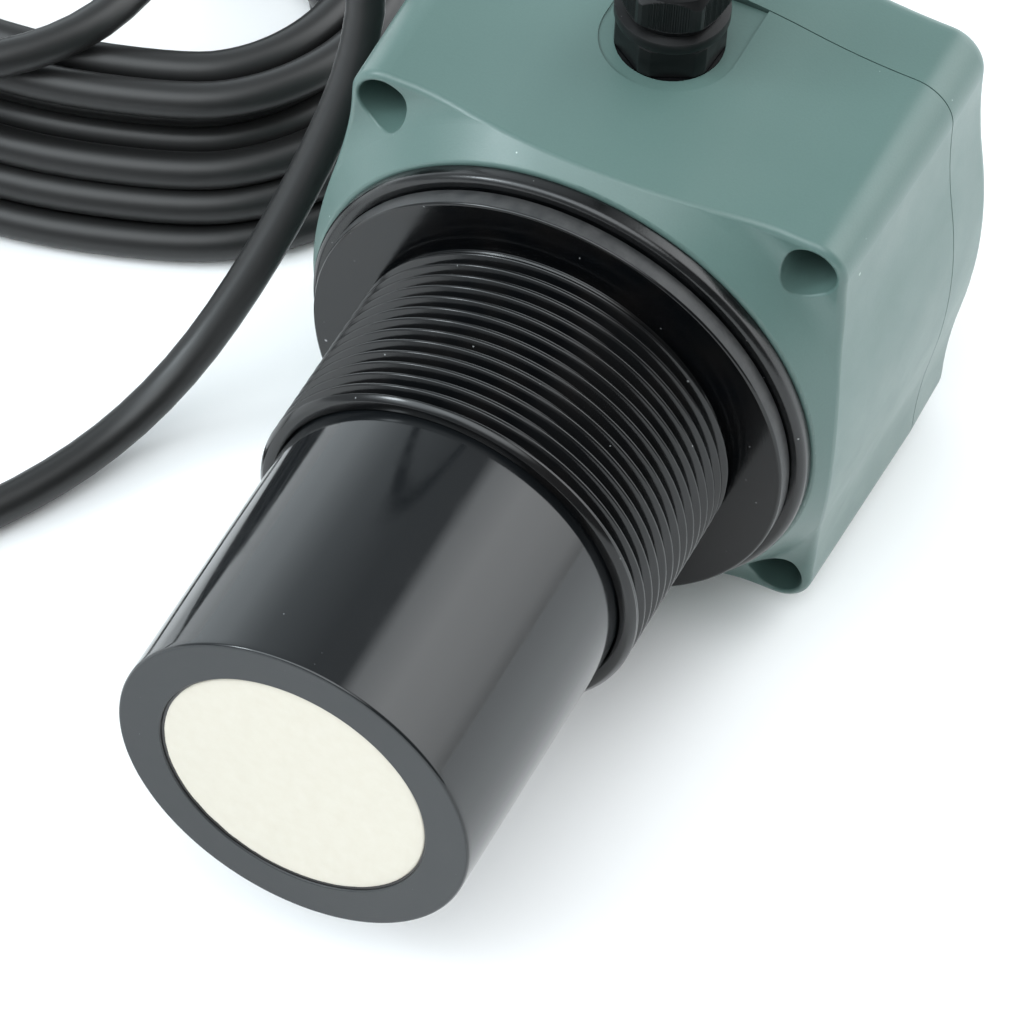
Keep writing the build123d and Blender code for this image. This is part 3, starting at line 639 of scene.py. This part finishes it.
def hexagon_radius(angle, flat, turn):
    """How far a hexagon's edge is from its middle at an angle, and the angle from the flat's middle.
    The turn is a corner's own angle."""
    sector = pi / 3
    off = (angle - radians(turn)) % sector - sector / 2
    return flat / cos(off), off


def gland_column(name, rows, radius_at, columns):
    """A shell round the gland's axis; each row gives a height and a largest radius."""
    points = []
    for z, limit in rows:
        for k in range(columns):
            angle = 2 * pi * k / columns
            radius = radius_at(angle, limit)
            points.append(at(radius * cos(angle), GLAND_Y + radius * sin(angle), z))
    faces = []
    for i in range(len(rows) - 1):
        for k in range(columns):
            n = (k + 1) % columns
            a, b = i * columns, (i + 1) * columns
            faces.append((a + k, a + n, b + n, b + k))
    return new_mesh(name, points, faces)


def build_gland_base(paint):
    """The hexagonal base with its rounded edges, and the round collar under the nut."""
    low = GLAND_SEAT_Z
    high = low + GLAND_HEX
    round_off = [(0.0, 0.30), (0.06, 0.14), (0.18, 0.04), (0.34, 0.0)]
    shrunk = [(low + z, -inset) for z, inset in round_off]
    shrunk += [(high - z, -inset) for z, inset in reversed(round_off)]

    def radius_at(angle, limit):
        if limit > 0:
            return limit
        radius, _ = hexagon_radius(angle, GLAND_FLAT_R, GLAND_TURN)
        return min(radius, GLAND_CORNER_R) + limit

    rows = [*shrunk, (high, GLAND_COLLAR_R + 0.3), (high + 0.1, GLAND_COLLAR_R),
            (high + GLAND_COLLAR, GLAND_COLLAR_R), (high + GLAND_COLLAR, NUT_MOUTH_R)]
    mesh = gland_column("gland_base", rows, radius_at, 360)
    mesh.materials.append(paint)
    piece = new_object("gland_base", mesh)
    smooth_by_angle(piece, 32.0)
    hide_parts("gland_body")


def nut_radius(angle, limit):
    """The nut's flats carry fine upright ribs between plain strips at the corners. A negative
    limit is a round row of that radius, as on the skirt."""
    if limit < 0:
        return -limit
    radius, off = hexagon_radius(angle, NUT_FLAT_R, NUT_TURN)
    radius = min(radius, NUT_CORNER_R)
    if limit <= radius:
        return limit
    half = pi / 6 - radians(NUT_STRIP)
    if abs(off) < half:
        wave = 0.5 - 0.5 * cos(2 * pi * NUT_RIBS * (off + half) / (2 * half))
        radius -= NUT_RIB_DEPTH * wave * min(1.0, (limit - radius) / 0.12)
    return radius


def build_gland_nut(paint):
    """The domed nut on its round skirt, turned off at both ends so that each flat ends in an arc."""
    low = GLAND_SEAT_Z + GLAND_HEX + GLAND_COLLAR
    skirt = low - GLAND_COLLAR + NUT_GAP
    inside = -(GLAND_COLLAR_R + 0.1)
    edge = NUT_SKIRT_EDGE
    rows = [
        (low, inside), (skirt, inside), (skirt, edge - NUT_SKIRT_R),
        (skirt + edge * 0.3, edge * 0.3 - NUT_SKIRT_R), (skirt + edge, -NUT_SKIRT_R),
        (skirt + NUT_SKIRT - edge, -NUT_SKIRT_R),
        (skirt + NUT_SKIRT - edge * 0.3, edge * 0.3 - NUT_SKIRT_R), (skirt + NUT_SKIRT, edge - NUT_SKIRT_R),
        (low + 0.2, NUT_FLAT_R - 0.42), (low + 1.0, NUT_FLAT_R - 0.3),
        (low + NUT_FLAT_START, NUT_FLAT_R - 0.1),
    ]
    for i in range(1, NUT_BEVEL_STEPS + 1):
        share = i / NUT_BEVEL_STEPS
        rows.append((low + NUT_FLAT_START + NUT_BEVEL * share, NUT_FLAT_R - 0.1 + 1.25 * share))
    rows.append((low + NUT_FLAT_END, NUT_CORNER_R + 0.2))
    for i in range(1, NUT_BEVEL_STEPS + 1):
        share = i / NUT_BEVEL_STEPS
        rows.append((low + NUT_FLAT_END + NUT_BEVEL * share, NUT_CORNER_R + 0.2 - NUT_BEVEL * share))
    top = low + GLAND_NUT
    rows += [(low + 7.6, NUT_FLAT_R - 0.2), (low + 8.9, NUT_FLAT_R - 0.55)]
    for i in range(1, NUT_DOME_STEPS):
        angle = radians(90 * i / NUT_DOME_STEPS)
        rise = NUT_DOME * sin(angle)
        rows.append((top - NUT_DOME + rise, NUT_FLAT_R - 0.6 - NUT_DOME * (1 - cos(angle))))
    rows += [(top, NUT_MOUTH_R + 0.35), (top - 0.12, NUT_MOUTH_R + 0.1), (top - 1.5, NUT_MOUTH_R)]
    mesh = gland_column("gland_cap_nut", rows, nut_radius, 6 * 96)
    mesh.materials.append(paint)
    piece = new_object("gland_cap_nut", mesh)
    smooth_by_angle(piece, 28.0)
    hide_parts("gland_nut")


def oval_point(angle, inset):
    """A point of the coil's oval at a given direction of its outward normal."""
    rise = COIL_HALF_LONG - COIL_END_R
    side_r = (rise**2 + COIL_HALF_SHORT**2 - COIL_END_R**2) / (2 * (COIL_HALF_SHORT - COIL_END_R))
    drop = side_r - COIL_HALF_SHORT
    join = atan2(drop, rise)
    facing = (angle + pi) % (2 * pi) - pi
    if abs(facing) < join:
        centre, radius = (rise, 0.0), COIL_END_R
    elif abs(facing) > pi - join:
        centre, radius = (-rise, 0.0), COIL_END_R
    else:
        centre, radius = (0.0, -drop if facing > 0 else drop), side_r
    x = centre[0] + (radius - inset) * cos(angle)
    y = centre[1] + (radius - inset) * sin(angle)
    turn = radians(COIL_TURN)
    return COIL_X + x * cos(turn) - y * sin(turn), COIL_Y + x * sin(turn) + y * cos(turn)


def coil_points():
    """The control points of the coil's turns, from where the run joins it to where the tail leaves."""
    slots = [(inset, height) for height, insets in COIL_ROWS for inset in insets]
    step = 2 * pi / POINTS_PER_TURN
    swept = 2 * pi * len(slots) + radians(COIL_END - COIL_START)
    points = []
    for i in range(1, int(swept / step)):
        turn = i / POINTS_PER_TURN
        k = min(int(turn), len(slots) - 1)
        ease = max(0.0, (turn - int(turn) - 1 + CROSSING_SHARE) / CROSSING_SHARE)
        ease = ease * ease * (3 - 2 * ease)
        inset, height = slots[k]
        following = slots[min(k + 1, len(slots) - 1)]
        angle = radians(COIL_START) + step * i
        around = Vector((cos(angle), sin(angle), 0.0))
        own = Vector((0.0, 0.0, 2.3 * k))
        inset += (following[0] - inset) * ease + noise.noise(around * 0.8) + 0.5 * noise.noise(around + own)
        height += (following[1] - height) * ease + 0.35 * noise.noise(around + own * 2)
        x, y = oval_point(angle, max(CABLE_D / 2, inset))
        points.append((x, y, FLOOR_Z + max(CABLE_D / 2, height)))
    return points


def build_cable(paint):
    """The signal cable as one spline: the free run, the coil's turns and the tail."""
    route = RUN_POINTS + coil_points() + TAIL_POINTS
    curve = bpy.data.curves.new("signal_cable", "CURVE")
    curve.dimensions = "3D"
    curve.bevel_depth = CABLE_D / 2 * MM
    curve.bevel_resolution = 7
    curve.use_fill_caps = True
    curve.resolution_u = 6
    spline = curve.splines.new("NURBS")
    spline.points.add(len(route) - 1)
    for point, place in zip(spline.points, route):
        point.co = (*at(*place), 1.0)
    spline.order_u = 3
    spline.use_endpoint_u = True
    spline.use_smooth = True
    curve.materials.append(paint)
    piece = new_object("signal_cable", curve)
    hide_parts("cable_run", "cable_coil", "cable_tail")


def build_camera():
    data = bpy.data.cameras.new("camera")
    data.sensor_width = SENSOR_WIDTH
    data.lens = CAMERA_LENS
    data.clip_start = 0.05
    data.clip_end = 50.0
    camera = bpy.data.objects.new("camera", data)
    bpy.context.scene.collection.objects.link(camera)
    right = CAMERA_RIGHT.normalized()
    up = (CAMERA_UP - right * CAMERA_UP.dot(right)).normalized()
    back = right.cross(up)
    turn = Matrix((right, up, back)).transposed().to_4x4()
    camera.matrix_world = Matrix.Translation(CAMERA_PLACE) @ turn
    bpy.context.scene.camera = camera


class Studio(Paint):
    """The world's background, painted by direction."""

    def __init__(self):
        self.target = bpy.data.worlds.new("studio")
        self.target.use_nodes = True
        self.tree = self.target.node_tree
        self.shader = self.tree.nodes["Background"]
        self.place = self.node("ShaderNodeTexCoord").outputs["Generated"]


def build_light():
    """A tent: panels behind the object by the angle over it, a front that goes from left to right,
    and the lamps."""
    p = Studio()
    parts = p.node("ShaderNodeSeparateXYZ", Vector=p.place)
    x, y, z = (parts.outputs[axis] for axis in "XYZ")
    over = p.math("MULTIPLY", p.math("ARCTAN2", z, p.math("MULTIPLY", x, -1.0)), 1 / pi)
    ramp = p.node("ShaderNodeValToRGB", Fac=over)
    stops = ramp.color_ramp.elements
    while len(stops) < len(PANELS):
        stops.new(0.5)
    for stop, (angle, strength) in zip(stops, PANELS):
        stop.position = angle / 180
        stop.color = (*(3 * [strength / PANEL_MOST]), 1)
    panels = p.math("MULTIPLY", ramp.outputs["Color"], PANEL_MOST)
    front = p.range(x, *FRONT_LIGHT)
    behind = p.range(y, *PANEL_DEPTH)
    room = p.math("ADD", front, p.math("MULTIPLY", behind, p.math("SUBTRACT", panels, front)))
    for way, outer, inner, strength in LAMPS:
        lamp = p.node("ShaderNodeVectorMath", {"operation": "DOT_PRODUCT"}, Vector=p.place)
        lamp.inputs[1].default_value = Vector(way).normalized()
        nearness = lamp.outputs["Value"]
        glow = p.range(nearness, cos(radians(outer)), cos(radians(inner)), 0.0, strength)
        room = p.math("ADD", room, glow)
    tint = p.mix(p.range(x, -0.5, 0.5), LEFT_TINT, RIGHT_TINT)
    p.set(Color=tint, Strength=room)
    bpy.context.scene.world = p.target


def build_floor():
    mesh = new_mesh("floor", [(-6, -6, 0), (6, -6, 0), (6, 6, 0), (-6, 6, 0)], [(0, 1, 2, 3)], smooth=False)
    floor = new_object("floor", mesh, body=None)
    p = Paint("floor", Roughness=0.6, Emission_Color=(1, 1, 1, 1), Emission_Strength=FLOOR_GLOW)
    mesh.materials.append(p.set(Base_Color=(0.93, 0.93, 0.93, 1)))


def dress_inside():
    """Finishes of the nodes that keep their own mesh."""
    dress(housing_paint(), "housing", "rear_cover")
    dress(rubber_paint("inner_rubber"), "cover_gasket", "gland_grip", "gland_gasket")
    dress(jacket_paint(), "cable_lead_in")
    dress(plain_paint("casting_resin", (0.03, 0.03, 0.035), 0.35), "potting", "backing_block")
    dress(plain_paint("ceramic", (0.60, 0.55, 0.45), 0.5), "piezo_disc")
    dress(plain_paint("soft_cork", (0.25, 0.17, 0.10), 0.8), "isolation_sleeve")
    dress(plain_paint("core_insulation", (0.35, 0.20, 0.09), 0.45), "transducer_leads", "cable_cores",
          "tail_cores")
    dress(plain_paint("component_black", (0.02, 0.02, 0.02), 0.5), "temperature_probe", "capacitors",
          "microcontroller", "regulator", "sensor_connector", "body_lock_nut", "gland_lock_nut")
    dress(plain_paint("circuit_board", (0.02, 0.16, 0.06), 0.35), "main_board")
    dress(plain_paint("terminal_green", (0.05, 0.30, 0.12), 0.45), "terminal_block")
    dress(plain_paint("ferrite", (0.06, 0.06, 0.06), 0.6), "transformer_core")
    dress(plain_paint("winding_copper", (0.55, 0.24, 0.10), 0.35, 1.0), "transformer_winding")
    dress(plain_paint("screw_steel", (0.56, 0.56, 0.57), 0.3, 1.0), "terminal_screws")
    dress(plain_paint("tinned_metal", (0.62, 0.62, 0.60), 0.35, 1.0), "tail_ferrules")
    steel = bpy.data.materials["screw_steel"]
    brass = plain_paint("insert_brass", (0.71, 0.52, 0.24), 0.35, 1.0)
    for k in range(1, 5):
        dress(steel, f"cover_screw_{k}", f"board_screw_{k}")
        dress(brass, f"cover_insert_{k}")


build_camera()
build_light()
build_floor()
dress_inside()
build_cable(bpy.data.materials["cable_jacket"])
build_sleeve(turned_paint(), rim_paint())
build_barrel(barrel_paint(), face_ring_paint())
build_disc(disc_paint())
# The adhesive's dark colour, also worn by the painted shade at the disc's lower left edge
build_glue_and_shade(plain_paint("adhesive_and_shade", (0.012, 0.010, 0.010), 0.4))
build_seal(rubber_paint())
gland = gland_paint()
build_gland_base(gland)
build_gland_nut(gland)
bpy.context.scene.view_settings.view_transform = "Standard"
